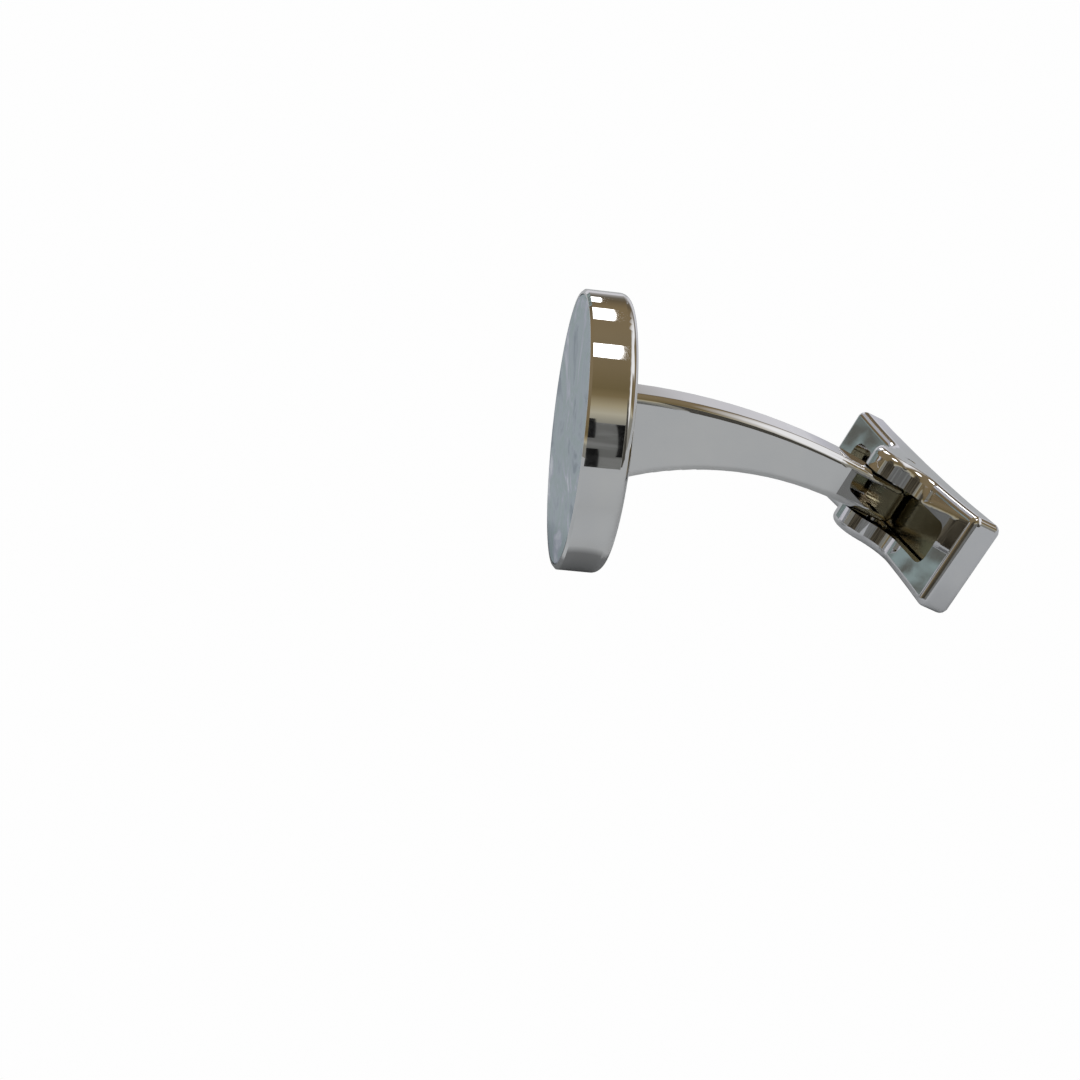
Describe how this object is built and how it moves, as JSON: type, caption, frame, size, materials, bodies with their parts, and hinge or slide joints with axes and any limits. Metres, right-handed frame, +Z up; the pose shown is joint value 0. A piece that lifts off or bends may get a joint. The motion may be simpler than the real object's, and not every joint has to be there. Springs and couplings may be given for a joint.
{
  "type": "cufflink",
  "caption": "Round cufflink with an inlaid face, a curved tapered arm and a sprung bar toggle that swings on a pin to pass through the cuff and then lock across it.",
  "frame": {"origin": "middle of the bounding box's underside: the floor the cufflink lies on", "axes": "+X along the link from head to toggle, +Z up as it lies on its rim and toggle, +Y to the left seen from the head"},
  "size_m": [0.0256, 0.018, 0.0171],
  "materials": {
    "polished_head": "mirror polished plate",
    "inlay": "polished pale shell",
    "cement": "cured cement",
    "polished_arm": "mirror polished plate",
    "solder": "polished over with the arm",
    "polished_toggle": "mirror polished plate",
    "pin_steel": "polished flush",
    "spring_steel": "bright spring strip"
  },
  "bodies": {
    "head": {"head_cup": "polished_head", "face_inlay": "inlay", "inlay_bed": "cement", "arm": "polished_arm", "solder_fillet": "solder"},
    "toggle": {"toggle_body": "polished_toggle", "hinge_pin": "pin_steel", "detent_spring": "spring_steel"}
  },
  "joints": [
    {"name": "toggle_swing", "type": "hinge", "parent": "head", "child": "toggle", "pos_m": [0.0084, -0.00014, 0.0036], "axis": [0.4819, 0.0646, 0.8738], "range_deg": [-85.1, 68.9]}
  ]
}
